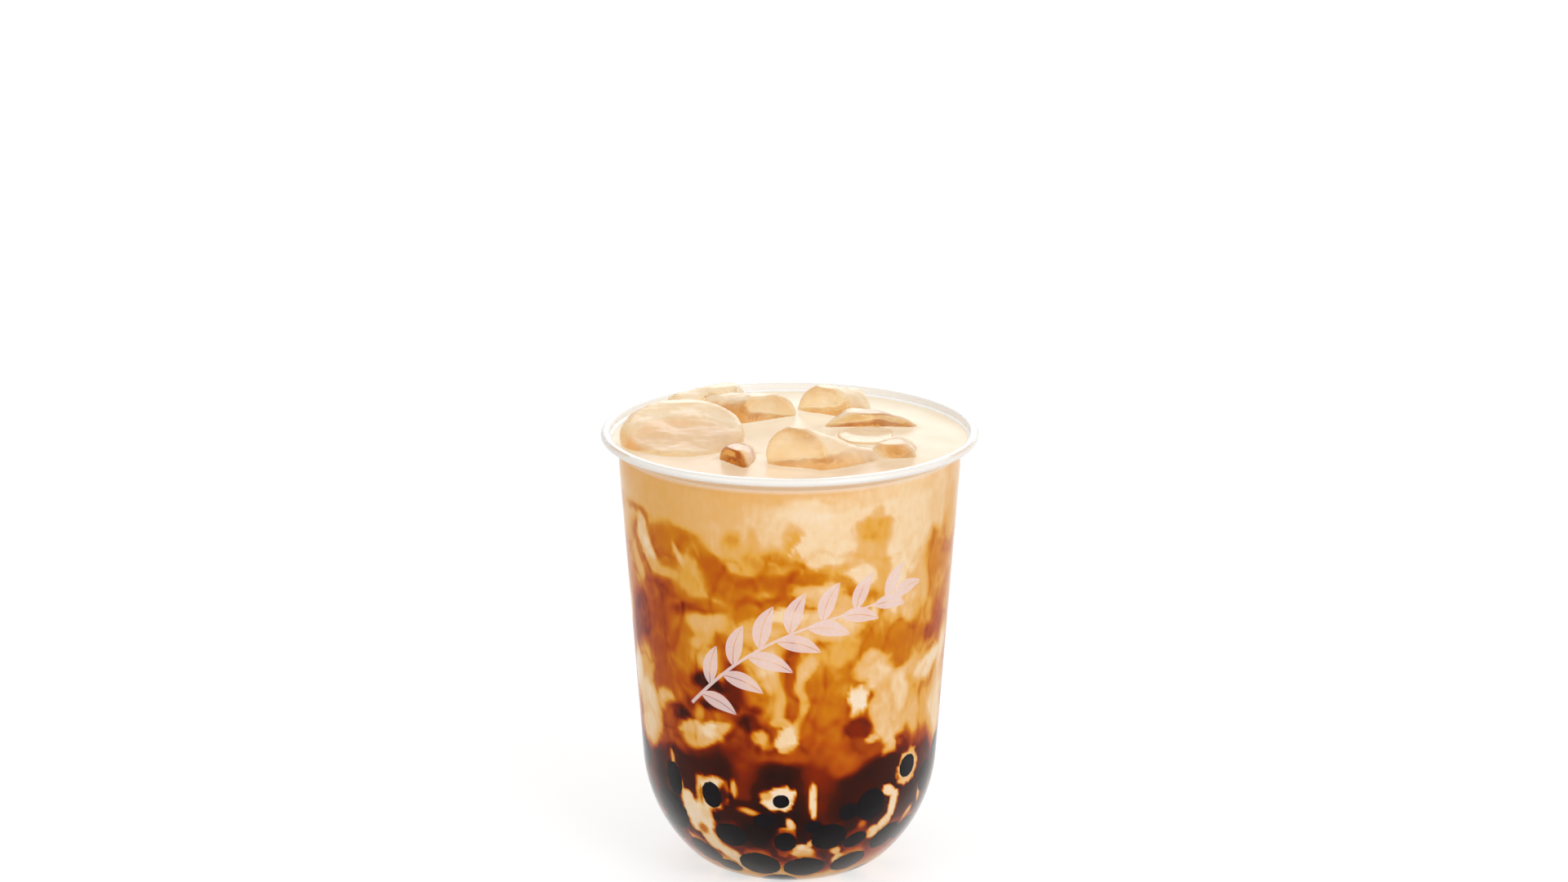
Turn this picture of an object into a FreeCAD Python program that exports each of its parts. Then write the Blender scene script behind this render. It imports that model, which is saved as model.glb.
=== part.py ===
import FreeCAD, Part
import math
import os
import Sketcher

# Pearl milk tea over ice in a clear, round-bottomed plastic cup.
# Origin: centre of the foot, +Z up.  Front of the cup: -Y.  Millimetres and degrees.

sizes = {
    # cup
    "cupHeight": 114,
    "wall": 0.75,
    "lipRadius": 47.5,
    "lipMouthRadius": 45.2,
    "lipDepth": 2.0,
    "mouthRounding": 0.6,
    "shoulderRadius": 45.9,
    "neckRadius": 43.0,
    "neckTop": 110.0,
    "draft": 4.16,
    "sideRadius": 38.3,
    "heelRadius": 16.0,
    "heelSweep": 45,
    "footRadius": 15.0,
    "dimpleRim": 12.0,
    "dimpleRadius": 8.5,
    "dimpleDepth": 2.2,
    # drink
    "drinkLevel": 111.7,
    # pearls
    "pearlRadius": 5.2,
    "bedCoreHeight": 25.0,
    # how far the cutting blocks reach past what they cut
    "reach": 60,
}

# Pieces of ice: a tapering round bar, cut flat along its underside (keel, measured down from
# the axis) and across its wide end.  "at" is the middle of the wide end, "turn" the heading of
# the axis from there, "rise" its climb, and "slant" turns the cut across the wide end.  A piece
# that leans on another one is hollowed where it lies against it.
ice_pieces = {
    "ice_left": {
        "wide": 16.1, "narrow": 12.5, "length": 13, "keel": 20, "rounding": 2.6,
        "slant": 0, "at": (-27.0, -5.2, 115.8), "turn": 90, "rise": -75,
    },
    "ice_back_left": {
        "wide": 6.9, "narrow": 5.1, "length": 19, "keel": 4.0, "rounding": 2.2,
        "slant": 0, "at": (-12.8, 28.4, 111.6), "turn": 203, "rise": 0, "leans_on": "ice_middle",
    },
    "ice_middle": {
        "wide": 7.6, "narrow": 6.0, "length": 18, "keel": 4.0, "rounding": 1.2,
        "slant": -38, "at": (-5.2, 16.3, 111.2), "turn": 158, "rise": -2, "leans_on": "ice_left",
    },
    "ice_back": {
        "wide": 8.6, "narrow": 6.4, "length": 12, "keel": 4.0, "rounding": 2.2,
        "slant": 30, "at": (7.8, 21.8, 111.4), "turn": 27, "rise": -6,
    },
    "ice_right": {
        "wide": 14.6, "narrow": 13.2, "length": 8, "keel": -7.0, "rounding": 0.8,
        "slant": -38, "at": (20.4, 9.0, 101.8), "turn": 128, "rise": 0, "leans_on": "ice_back",
    },
    "ice_slab": {
        "wide": 8.2, "narrow": 7.2, "length": 5, "keel": 6.0, "rounding": 0.8,
        "slant": 0, "at": (20.0, -0.2, 112.5), "turn": 180, "rise": -90,
    },
    "ice_front": {
        "wide": 7.7, "narrow": 4.2, "length": 24, "keel": 5.5, "rounding": 1.3,
        "slant": 38, "at": (1.1, -28.0, 114.9), "turn": 25, "rise": -16,
    },
    "ice_front_right": {
        "wide": 6.6, "narrow": 5.4, "length": 11, "keel": 3.5, "rounding": 1.4,
        "slant": 15, "at": (25.2, -20.4, 109.2), "turn": 80, "rise": 0, "leans_on": "ice_front",
    },
    "ice_chip": {
        "wide": 4.9, "narrow": 3.4, "length": 11, "keel": 3.0, "rounding": 0.8,
        "slant": -37, "at": (-14.2, -25.6, 111.5), "turn": 75, "rise": -4,
    },
}
ice_lengths = ("wide", "narrow", "length", "keel", "rounding")

# Top layer of the bed of pearls, ring by ring from the wall inwards: radius of the ring, number
# of pearls, mean height of their centres, and how much that height rolls round the ring.
pearl_rings = (
    {"radius": 31.2, "count": 18, "height": 26.6, "roll": 1.8, "waves": 5},
    {"radius": 21.0, "count": 12, "height": 27.4, "roll": 1.5, "waves": 4},
    {"radius": 10.6, "count": 6, "height": 26.2, "roll": 1.2, "waves": 2},
    {"radius": 0.0, "count": 1, "height": 27.5, "roll": 0.0, "waves": 1},
)

doc = FreeCAD.newDocument("PearlMilkTea")


def alias_of(name, size):
    """ice_left and wide make iceLeftWide."""
    first, *rest = (name + "_" + size).split("_")
    return first + "".join(word.capitalize() for word in rest)


def fill_sheet():
    cells = dict(sizes)
    for name, ice in ice_pieces.items():
        for size in ice_lengths:
            cells[alias_of(name, size)] = ice[size]
    sheet = doc.addObject("Spreadsheet::Sheet", "Sizes")
    for row, (alias, value) in enumerate(cells.items(), start=1):
        sheet.set(f"A{row}", alias)
        sheet.set(f"B{row}", str(value))
        sheet.setAlias(f"B{row}", alias)
    doc.recompute()


def bound(kind, name, **formulas):
    """A document object whose sizes follow the sheet."""
    thing = doc.addObject(kind, name)
    for size, formula in formulas.items():
        thing.setExpression(size.replace("_", "."), formula)
    return thing


class Outline:
    """A chain of lines and tangent arcs in a body's XZ plane that starts on the axis."""

    def __init__(self, body, name):
        plane = next(item for item in body.Origin.OriginFeatures if item.Role == "XZ_Plane")
        self.sketch = body.newObject("Sketcher::SketchObject", name)
        self.sketch.AttachmentSupport = [(plane, "")]
        self.sketch.MapMode = "FlatFace"
        self.edge = None
        self.end = None

    def bind(self, constraint, formula):
        index = self.sketch.addConstraint(constraint)
        self.sketch.setExpression(f"Constraints[{index}]", formula)

    def begin(self, height, formula):
        self.end = FreeCAD.Vector(0, height, 0)
        self.begin_formula = formula

    def line(self, across, up, across_formula="", up_formula="", tangent=False):
        """To (across, up).  Without its formula a line runs level, upright or tangent."""
        target = FreeCAD.Vector(across, up, 0)
        edge = self.sketch.addGeometry(Part.LineSegment(self.end, target), False)
        if self.edge is None:
            self.sketch.addConstraint(Sketcher.Constraint("PointOnObject", edge, 1, -2))
            self.bind(Sketcher.Constraint("DistanceY", -1, 1, edge, 1, self.end.y), self.begin_formula)
        else:
            join = "Tangent" if tangent else "Coincident"
            self.sketch.addConstraint(Sketcher.Constraint(join, self.edge, 2, edge, 1))
        if across_formula:
            self.bind(Sketcher.Constraint("DistanceX", -1, 1, edge, 2, across), across_formula)
        elif not tangent:
            self.sketch.addConstraint(Sketcher.Constraint("Vertical", edge))
        if up_formula:
            self.bind(Sketcher.Constraint("DistanceY", -1, 1, edge, 2, up), up_formula)
        elif not tangent:
            self.sketch.addConstraint(Sketcher.Constraint("Horizontal", edge))
        self.edge = edge
        self.end = target

    def arc(self, radius, start, sweep, radius_formula, sweep_formula):
        """Leaves the chain tangentially at the angle start and turns left by sweep."""
        start, sweep = math.radians(start), math.radians(sweep)
        centre = self.end - radius * FreeCAD.Vector(math.cos(start), math.sin(start), 0)
        circle = Part.Circle(centre, FreeCAD.Vector(0, 0, 1), radius)
        edge = self.sketch.addGeometry(Part.ArcOfCircle(circle, start, start + sweep), False)
        self.sketch.addConstraint(Sketcher.Constraint("Tangent", self.edge, 2, edge, 1))
        self.bind(Sketcher.Constraint("Radius", edge, radius), radius_formula)
        self.bind(Sketcher.Constraint("Angle", edge, sweep), sweep_formula)
        self.edge = edge
        finish = start + sweep
        self.end = centre + radius * FreeCAD.Vector(math.cos(finish), math.sin(finish), 0)

    def close(self):
        """Level to the axis, then down it to the start."""
        corner = FreeCAD.Vector(0, self.end.y, 0)
        foot = self.sketch.Geometry[0].StartPoint
        level = self.sketch.addGeometry(Part.LineSegment(self.end, corner), False)
        axis = self.sketch.addGeometry(Part.LineSegment(corner, foot), False)
        for constraint in (
            Sketcher.Constraint("Coincident", self.edge, 2, level, 1),
            Sketcher.Constraint("Horizontal", level),
            Sketcher.Constraint("PointOnObject", level, 2, -2),
            Sketcher.Constraint("Coincident", level, 2, axis, 1),
            Sketcher.Constraint("Coincident", axis, 2, 0, 1),
        ):
            self.sketch.addConstraint(constraint)


def cup_side(outline, inset, inset_formula):
    """Foot, heel, side and neck of the cup, moved inwards by the inset."""
    value = sizes
    outline.begin(value["dimpleDepth"] + inset, "Sizes.dimpleDepth" + inset_formula.replace("-", "+"))
    outline.line(value["dimpleRadius"], value["dimpleDepth"] + inset, "Sizes.dimpleRadius")
    outline.line(
        value["dimpleRim"], inset,
        "Sizes.dimpleRim", "0 " + inset_formula.replace("-", "+"),
    )
    outline.line(value["footRadius"], inset, "Sizes.footRadius")
    outline.arc(
        value["heelRadius"] - inset, -90, value["heelSweep"],
        "Sizes.heelRadius" + inset_formula, "Sizes.heelSweep",
    )
    outline.arc(
        value["sideRadius"] - inset, value["heelSweep"] - 90, value["heelSweep"] - value["draft"],
        "Sizes.sideRadius" + inset_formula, "Sizes.heelSweep - Sizes.draft",
    )
    neck = value["neckRadius"] - inset
    climb = (neck - outline.end.x) / math.tan(math.radians(value["draft"]))
    outline.line(neck, outline.end.y + climb, "Sizes.neckRadius" + inset_formula, tangent=True)
    outline.line(neck, value["neckTop"], up_formula="Sizes.neckTop")


def revolved(body_name, outline):
    body = outline.sketch.getParentGeoFeatureGroup()
    turned = body.newObject("PartDesign::Revolution", body_name + "Turned")
    turned.Profile = outline.sketch
    turned.ReferenceAxis = (outline.sketch, ["V_Axis"])
    turned.Angle = 360
    return body


def make_cup_outside():
    body = doc.addObject("PartDesign::Body", "CupOutside")
    outline = Outline(body, "OutsideOutline")
    cup_side(outline, 0, "")
    lip = sizes["lipDepth"] / 2
    under = sizes["cupHeight"] - sizes["lipDepth"]
    outline.line(
        sizes["shoulderRadius"], under,
        "Sizes.shoulderRadius", "Sizes.cupHeight - Sizes.lipDepth",
    )
    outline.line(sizes["lipRadius"] - lip, under, "Sizes.lipRadius - Sizes.lipDepth / 2")
    outline.arc(lip, -90, 180, "Sizes.lipDepth / 2", "180")
    outline.close()
    return revolved("Outside", outline)


def make_cavity():
    body = doc.addObject("PartDesign::Body", "Cavity")
    outline = Outline(body, "CavityOutline")
    cup_side(outline, sizes["wall"], " - Sizes.wall")
    top = sizes["cupHeight"] + sizes["wall"]
    outline.line(
        sizes["lipMouthRadius"], sizes["cupHeight"] - sizes["lipDepth"] + sizes["wall"] / 2,
        "Sizes.lipMouthRadius", "Sizes.cupHeight - Sizes.lipDepth + Sizes.wall / 2",
    )
    outline.line(sizes["lipMouthRadius"], top, up_formula="Sizes.cupHeight + Sizes.wall")
    outline.close()
    return revolved("Cavity", outline)


def cut(name, base, tool):
    result = doc.addObject("Part::Cut", name)
    result.Base = base
    result.Tool = tool
    return result


def common(name, base, tool):
    result = doc.addObject("Part::Common", name)
    result.Base = base
    result.Tool = tool
    return result


def fused(name, shapes):
    result = doc.addObject("Part::MultiFuse", name)
    result.Shapes = shapes
    return result


def make_cup(outside, cavity):
    """The wall between the two bodies, with the mouth's inner edge rounded."""
    wall = cut("CupWall", outside, cavity)
    doc.recompute()
    mouth = [
        number for number, edge in enumerate(wall.Shape.Edges, start=1)
        if edge.Length > 2 * math.pi * sizes["neckRadius"]
        and abs(edge.BoundBox.ZMin - sizes["cupHeight"]) < 1e-6
        and abs(edge.BoundBox.XMax - sizes["lipMouthRadius"]) < 0.1
    ]
    cup = doc.addObject("Part::Fillet", "Cup")
    cup.Base = wall
    cup.Edges = [(number, sizes["mouthRounding"], sizes["mouthRounding"]) for number in mouth]
    return cup


def make_sharp_ice(name, ice):
    word = alias_of(name, "piece")
    run_up = ice["wide"] * math.tan(math.radians(abs(ice["slant"])))
    bar = bound(
        "Part::Cone", word + "Bar",
        Radius1="Sizes." + alias_of(name, "wide"),
        Radius2="Sizes." + alias_of(name, "narrow"),
        Height=f"Sizes.{alias_of(name, 'length')} + {run_up}",
    )
    bar.Placement.Base.z = -run_up
    below = bound(
        "Part::Box", word + "Below",
        Length="Sizes.reach", Width="2 * Sizes.reach", Height="2 * Sizes.reach",
        Placement_Base_x="Sizes." + alias_of(name, "keel"),
        Placement_Base_y="-Sizes.reach",
        Placement_Base_z="-Sizes.reach",
    )
    beyond = bound(
        "Part::Box", word + "Beyond",
        Length="2 * Sizes.reach", Width="2 * Sizes.reach", Height="Sizes.reach",
    )
    slanted = FreeCAD.Placement(
        FreeCAD.Vector(0, 0, 0), FreeCAD.Rotation(FreeCAD.Vector(1, 0, 0), -ice["slant"])
    )
    reach = sizes["reach"]
    beyond.Placement = slanted.multiply(
        FreeCAD.Placement(FreeCAD.Vector(-reach, -reach, -reach), FreeCAD.Rotation())
    )
    return cut(word + "Sharp", bar, fused(word + "Waste", [below, beyond]))


def make_ice(name, ice, sharp):
    """Melting has rounded every edge between two faces."""
    piece = doc.addObject("Part::Fillet", alias_of(name, "piece"))
    piece.Base = sharp
    shape = sharp.Shape
    piece.Edges = [
        (number, ice["rounding"], ice["rounding"])
        for number, edge in enumerate(shape.Edges, start=1)
        if len(shape.ancestorsOfType(edge, Part.Face)) == 2
    ]
    piece.Placement = FreeCAD.Placement(
        FreeCAD.Vector(*ice["at"]), FreeCAD.Rotation(ice["turn"], 90 - ice["rise"], 0)
    )
    return piece


def make_pearl_bed(cavity):
    """A core up to under the top layer, and the top layer's round tops."""
    core = bound(
        "Part::Cylinder", "BedCore", Radius="Sizes.lipRadius", Height="Sizes.bedCoreHeight"
    )
    heap = [core]
    for ring_number, ring in enumerate(pearl_rings):
        for step in range(ring["count"]):
            angle = 2 * math.pi * (step + 0.5 * ring_number) / ring["count"]
            pearl = bound("Part::Sphere", f"Pearl{ring_number}x{step}", Radius="Sizes.pearlRadius")
            pearl.Placement.Base = FreeCAD.Vector(
                ring["radius"] * math.cos(angle),
                ring["radius"] * math.sin(angle),
                ring["height"] + ring["roll"] * math.sin(ring["waves"] * angle),
            )
            heap.append(pearl)
    return common("PearlBed", cavity, fused("BedHeap", heap))


def make_milk_tea(cavity, sunk):
    """All of the cup's inside up to the level that the bed and the ice leave free."""
    below_level = bound(
        "Part::Cylinder", "BelowLevel", Radius="Sizes.lipRadius", Height="Sizes.drinkLevel"
    )
    return cut("MilkTea", common("FilledCavity", cavity, below_level), fused("Sunk", sunk))


def failed(thing):
    return "Invalid" in thing.State or "Error" in thing.State


fill_sheet()
outside = make_cup_outside()
cavity = make_cavity()
sharp_ice = {name: make_sharp_ice(name, spec) for name, spec in ice_pieces.items()}
doc.recompute()
ice = {name: make_ice(name, spec, sharp_ice[name]) for name, spec in ice_pieces.items()}
for name, spec in ice_pieces.items():
    if "leans_on" in spec:
        ice[name] = cut(alias_of(name, "leaning"), ice[name], ice[spec["leans_on"]])
sub_parts = {"cup": make_cup(outside, cavity), "pearl_bed": make_pearl_bed(cavity), **ice}
sub_parts["milk_tea"] = make_milk_tea(cavity, [sub_parts["pearl_bed"], *ice.values()])
doc.recompute()

failures = [thing.Name for thing in doc.Objects if failed(thing)]
if failures:
    raise RuntimeError("failed: " + ", ".join(failures))
for name, thing in sub_parts.items():
    if thing.Shape.isNull() or not thing.Shape.isValid():
        raise RuntimeError(f"{name} has no valid shape")
    thing.Label = name

os.makedirs("parts", exist_ok=True)
for name, thing in sub_parts.items():
    thing.Shape.exportStep(f"parts/{name}.step")
    print(name, len(thing.Shape.Solids), round(thing.Shape.Volume / 1000, 3), "ml")
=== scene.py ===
import math
import random

import bpy
import numpy as np
from mathutils import Matrix, Vector, noise
from mathutils.bvhtree import BVHTree


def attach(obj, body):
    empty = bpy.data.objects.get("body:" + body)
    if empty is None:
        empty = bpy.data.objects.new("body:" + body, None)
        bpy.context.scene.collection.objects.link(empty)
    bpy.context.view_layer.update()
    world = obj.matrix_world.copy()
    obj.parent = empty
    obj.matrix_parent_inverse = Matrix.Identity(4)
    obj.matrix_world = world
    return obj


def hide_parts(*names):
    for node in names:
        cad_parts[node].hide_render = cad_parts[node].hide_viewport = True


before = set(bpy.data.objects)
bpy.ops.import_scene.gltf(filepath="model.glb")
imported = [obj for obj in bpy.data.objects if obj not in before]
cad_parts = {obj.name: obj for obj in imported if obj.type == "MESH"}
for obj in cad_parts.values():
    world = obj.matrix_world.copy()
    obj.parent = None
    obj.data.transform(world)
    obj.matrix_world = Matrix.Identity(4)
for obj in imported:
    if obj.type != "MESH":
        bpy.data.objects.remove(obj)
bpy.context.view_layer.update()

mm = 0.001

# Pearl milk tea in a clear cup. Front of the cup is -Y. Sizes in the dictionaries are in mm,
# places on the cup's side are an angle from the front (degrees, right is +) and a height.
# The studio alone is in metres.


def clearSelection():
    if bpy.context.object and bpy.context.object.mode != "OBJECT":
        bpy.ops.object.mode_set(mode="OBJECT")
    bpy.ops.object.select_all(action="DESELECT")


def pick(*pieces):
    clearSelection()
    for piece in pieces:
        piece.select_set(True)
    bpy.context.view_layer.objects.active = pieces[0]


def applyModifier(piece, kind, **settings):
    pick(piece)
    bpy.ops.object.modifier_add(type=kind)
    modifier = piece.modifiers[-1]
    for name, value in settings.items():
        setattr(modifier, name, value)
    bpy.ops.object.modifier_apply(modifier=modifier.name)


def faceOutwards(piece):
    pick(piece)
    bpy.ops.object.mode_set(mode="EDIT")
    bpy.ops.mesh.select_all(action="SELECT")
    bpy.ops.mesh.normals_make_consistent(inside=False)
    bpy.ops.object.mode_set(mode="OBJECT")


def readPoints(piece):
    points = np.empty(len(piece.data.vertices) * 3)
    piece.data.vertices.foreach_get("co", points)
    return points.reshape(-1, 3)


def writePoints(piece, points):
    piece.data.vertices.foreach_set("co", points.ravel())
    piece.data.update()


def readNormals(piece):
    normals = np.empty(len(piece.data.vertices) * 3)
    piece.data.vertex_normals.foreach_get("vector", normals)
    return normals.reshape(-1, 3)


def writeTone(piece, name, values):
    layer = piece.data.attributes.new(name, "FLOAT", "POINT")
    layer.data.foreach_set("value", np.asarray(values, np.float32))


def noiseAt(points, size, seed):
    # soft noise from -1 to 1 with features about as large as size, in the points' own unit
    scaled = points / size + seed * 17.3
    return np.array([noise.noise(Vector(point)) for point in scaled])


def smooth(low, high, value):
    part = np.clip((value - low) / (high - low), 0, 1)
    return part * part * (3 - 2 * part)


def finishPiece(piece, slot, *nodes):
    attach(piece, "root")
    if nodes:
        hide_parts(*nodes)
    faces = sum(len(face.vertices) - 2 for face in piece.data.polygons)
    print(piece.name, "has", faces, "triangles")


def spinOutline(name, outline, steps):
    # a chain of points (across, up) in mm, drawn by extruding one vertex, then spun round the axis
    clearSelection()
    bpy.ops.mesh.primitive_plane_add(size=mm)
    piece = bpy.context.object
    piece.name = piece.data.name = name
    bpy.ops.object.mode_set(mode="EDIT")
    bpy.ops.mesh.select_all(action="SELECT")
    bpy.ops.mesh.merge(type="CENTER")
    bpy.ops.transform.translate(value=(outline[0][0] * mm, 0, outline[0][1] * mm))
    for start, end in zip(outline, outline[1:]):
        step = ((end[0] - start[0]) * mm, 0, (end[1] - start[1]) * mm)
        bpy.ops.mesh.extrude_region_move(TRANSFORM_OT_translate={"value": step})
    bpy.ops.mesh.select_all(action="SELECT")
    bpy.ops.mesh.spin(steps=steps, angle=2 * math.pi, center=(0, 0, 0), axis=(0, 0, 1))
    bpy.ops.mesh.select_all(action="SELECT")
    bpy.ops.mesh.remove_doubles(threshold=0.004 * mm)
    bpy.ops.mesh.normals_make_consistent(inside=False)
    bpy.ops.object.mode_set(mode="OBJECT")
    bpy.ops.object.shade_smooth()
    return piece


def colour(red, green, blue):
    # screen colour, 0 to 255, as the linear colour that a socket takes
    parts = [part / 255 for part in (red, green, blue)]
    parts = [part / 12.92 if part < 0.04045 else ((part + 0.055) / 1.055) ** 2.4 for part in parts]
    return (*parts, 1)


class Wire:
    def __init__(self, tree, socket=None):
        self.tree, self.socket = tree, socket

    def add(self, kind, settings=None, values=None, output=0):
        made = self.tree.nodes.new("ShaderNode" + kind)
        for name, value in (settings or {}).items():
            if name == "stops":
                self.setStops(made.color_ramp, value)
            else:
                setattr(made, name, value)
        for name, value in (values or {}).items():
            if isinstance(value, Wire):
                self.tree.links.new(value.socket, made.inputs[name])
            else:
                made.inputs[name].default_value = value
        return Wire(self.tree, made.outputs[output] if made.outputs else None)

    def setStops(self, ramp, stops):
        while len(ramp.elements) > 1:
            ramp.elements.remove(ramp.elements[-1])
        for number, (place, shade) in enumerate(stops):
            stop = ramp.elements[0] if number == 0 else ramp.elements.new(place)
            stop.position, stop.color = place, shade

    def combine(self, operation, first, second):
        return self.add("Math", {"operation": operation}, {0: first, 1: second})

    def __add__(self, other):
        return self.combine("ADD", self, other)

    def __radd__(self, other):
        return self.combine("ADD", other, self)

    def __sub__(self, other):
        return self.combine("SUBTRACT", self, other)

    def __rsub__(self, other):
        return self.combine("SUBTRACT", other, self)

    def __mul__(self, other):
        return self.combine("MULTIPLY", self, other)

    def __rmul__(self, other):
        return self.combine("MULTIPLY", other, self)

    def mix(self, low, high):
        return self.add("Mix", {"data_type": "RGBA"}, {0: self, 6: low, 7: high}, 2)


def newMaterial(name):
    material = bpy.data.materials.new(name)
    material.use_nodes = True
    material.node_tree.nodes.clear()
    return material, Wire(material.node_tree)


def finishMaterial(material, root, shader):
    root.add("OutputMaterial", None, {"Surface": shader})
    return material


def openToLight(root, shader):
    # lets light through to what lies inside, so that the inside is lit evenly
    path = root.add("LightPath").socket.node.outputs
    clear = root.add("BsdfTransparent")
    inner = root.add("MixShader", None, {0: Wire(root.tree, path["Is Diffuse Ray"]), 1: shader, 2: clear})
    return root.add("MixShader", None, {0: Wire(root.tree, path["Is Shadow Ray"]), 1: inner, 2: clear})


def placeOf(root):
    return root.add("TexCoord", None, None, 3)


def noiseOf(root, place, size, detail=2.0, roughness=0.5, stretch=(1, 1, 1)):
    # size of the noise's features in mm
    spread = root.add("Mapping", None, {"Vector": place, "Scale": tuple(1 / part for part in stretch)})
    values = {"Vector": spread, "Scale": 1 / (size * mm), "Detail": detail, "Roughness": roughness}
    return root.add("TexNoise", None, values)


def attributeOf(root, name):
    return root.add("Attribute", {"attribute_name": name}, None, 2)


cup = {
    "height": 114.0,
    "wall": 0.75,
    "dimple": ((0.0, 2.2), (8.5, 2.2), (12.0, 0.0), (15.0, 0.0)),
    "heelRadius": 16.0,
    "sideRadius": 38.3,
    "heelSweep": 45.0,
    "draft": 4.16,
    "neckRadius": 43.0,
    "neckTop": 110.0,
    "shoulder": (45.9, 112.0),
    "lipRadius": 47.5,
    "mouthRadius": 45.2,
    "mouthRounding": 0.6,
    "lipDepth": 2.0,
    "turns": 288,
    "arcSteps": {"heel": 12, "side": 26, "lip": 14, "mouth": 6},
    "longestStep": 3.0,
    "creaseAngle": 38,
    "bending": 1.15,        # how much the plastic bends light
    "highlightRingPitch": 1.05,      # spacing of painted highlight lines, rings of white haze in the lip
    "highlightRingDepth": 0.7,
    "neckHaze": 0.40,
    "lipHaze": 0.30,
    # painted reflection of the white table on the heel, as white haze
    "heelTableReflection": 0.70,
}


def arcPoints(centre, radius, start, end, count):
    turns = [math.radians(start + (end - start) * number / count) for number in range(count + 1)]
    return [(centre[0] + radius * math.cos(turn), centre[1] + radius * math.sin(turn)) for turn in turns]


def sideOutline(inset):
    # foot, heel, side and neck of the cup, moved inwards by inset
    steps = cup["arcSteps"]
    points = [(across, up + inset) for across, up in cup["dimple"]]
    heel = (cup["dimple"][-1][0], cup["heelRadius"])
    points += arcPoints(heel, cup["heelRadius"] - inset, -90, cup["heelSweep"] - 90, steps["heel"])[1:]
    start = math.radians(cup["heelSweep"] - 90)
    gap = cup["heelRadius"] - cup["sideRadius"]
    side = (heel[0] + gap * math.cos(start), heel[1] + gap * math.sin(start))
    sweep = (cup["heelSweep"] - 90, -cup["draft"])
    points += arcPoints(side, cup["sideRadius"] - inset, *sweep, steps["side"])[1:]
    neck = cup["neckRadius"] - inset
    climb = (neck - points[-1][0]) / math.tan(math.radians(cup["draft"]))
    points.append((neck, points[-1][1] + climb))
    points.append((neck, cup["neckTop"]))
    return points


def divided(outline, longest):
    # the same outline with its long steps cut into shorter ones
    points = [outline[0]]
    for start, end in zip(outline, outline[1:]):
        count = max(1, math.ceil(math.dist(start, end) / longest))
        points += [
            tuple(start[axis] + (end[axis] - start[axis]) * number / count for axis in (0, 1))
            for number in range(1, count + 1)
        ]
    return points


mouthFoot = (cup["mouthRadius"], cup["height"] - cup["lipDepth"] + cup["wall"] / 2)
insideOutline = sideOutline(cup["wall"]) + [mouthFoot]
outsideOutline = sideOutline(0) + [cup["shoulder"]]
footEdge = len(cup["dimple"]) - 1       # from here on both outlines only rise
insideAcross, insideUp = np.array(insideOutline[footEdge:]).T
outsideAcross, outsideUp = np.array(outsideOutline[footEdge:]).T


def makeCup():
    bead = cup["lipDepth"] / 2
    steps = cup["arcSteps"]
    lip = arcPoints((cup["lipRadius"] - bead, cup["height"] - bead), bead, -90, 90, steps["lip"])
    rounding = cup["mouthRounding"]
    corner = (cup["mouthRadius"] + rounding, cup["height"] - rounding)
    mouth = arcPoints(corner, rounding, 90, 180, steps["mouth"])
    outside = divided(outsideOutline, cup["longestStep"])
    inside = divided(insideOutline, cup["longestStep"])[::-1]
    piece = spinOutline("cup_shell", outside + lip + mouth + inside, cup["turns"])
    pick(piece)
    bpy.ops.object.shade_smooth_by_angle(angle=math.radians(cup["creaseAngle"]))
    return piece


def fade(root, height, low, high, start, end):
    # goes softly from start to end between two heights
    return root.add("MapRange", {"interpolation_type": "SMOOTHSTEP"}, {
        "Value": height, "From Min": low * mm, "From Max": high * mm, "To Min": start, "To Max": end,
    })


def cupMaterial():
    material, root = newMaterial("clear moulded plastic")
    place = placeOf(root)
    height = root.add("SeparateXYZ", None, {0: place}, 2)
    level = root.add("VectorMath", {"operation": "MULTIPLY"}, {0: place, 1: (1, 1, 0)})
    radius = root.add("VectorMath", {"operation": "LENGTH"}, {0: level}, 1)
    # painted highlight: the lip's white haze rises and falls in thin rings, standing for bright lines of
    # light
    highlightRings = root.add("Math", {"operation": "SINE"}, {0: radius * (2 * math.pi / (cup["highlightRingPitch"] * mm))})
    clear = root.add("BsdfPrincipled", None, {
        "Base Color": (1, 1, 1, 1), "Roughness": 0.0, "IOR": cup["bending"], "Transmission Weight": 1.0,
    })
    haze = root.add("BsdfPrincipled", None, {
        "Base Color": colour(246, 242, 236), "Roughness": 0.12, "Specular IOR Level": 0.5,
    })
    neck = fade(root, height, 108.7, 109.9, 0.0, cup["neckHaze"])
    lip = fade(root, height, 111.8, 112.2, 0.0, cup["lipHaze"])
    heel = fade(root, height, 14, 44, cup["heelTableReflection"], 0.0)
    # where the curved heel is seen edge-on it mirrors the white table: a painted reflection, laid on as
    # white haze
    glance = root.add("LayerWeight", None, {"Blend": 0.5}, 1)
    cloudy = neck + lip + lip * highlightRings * cup["highlightRingDepth"] + heel * glance * glance * glance * glance
    plastic = root.add("MixShader", None, {0: cloudy, 1: clear, 2: haze})
    return finishMaterial(material, root, openToLight(root, plastic))


cupShell = makeCup()
cupShell.data.materials.append(cupMaterial())
finishPiece(cupShell, "cup", "cup")
print("cup made")


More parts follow.
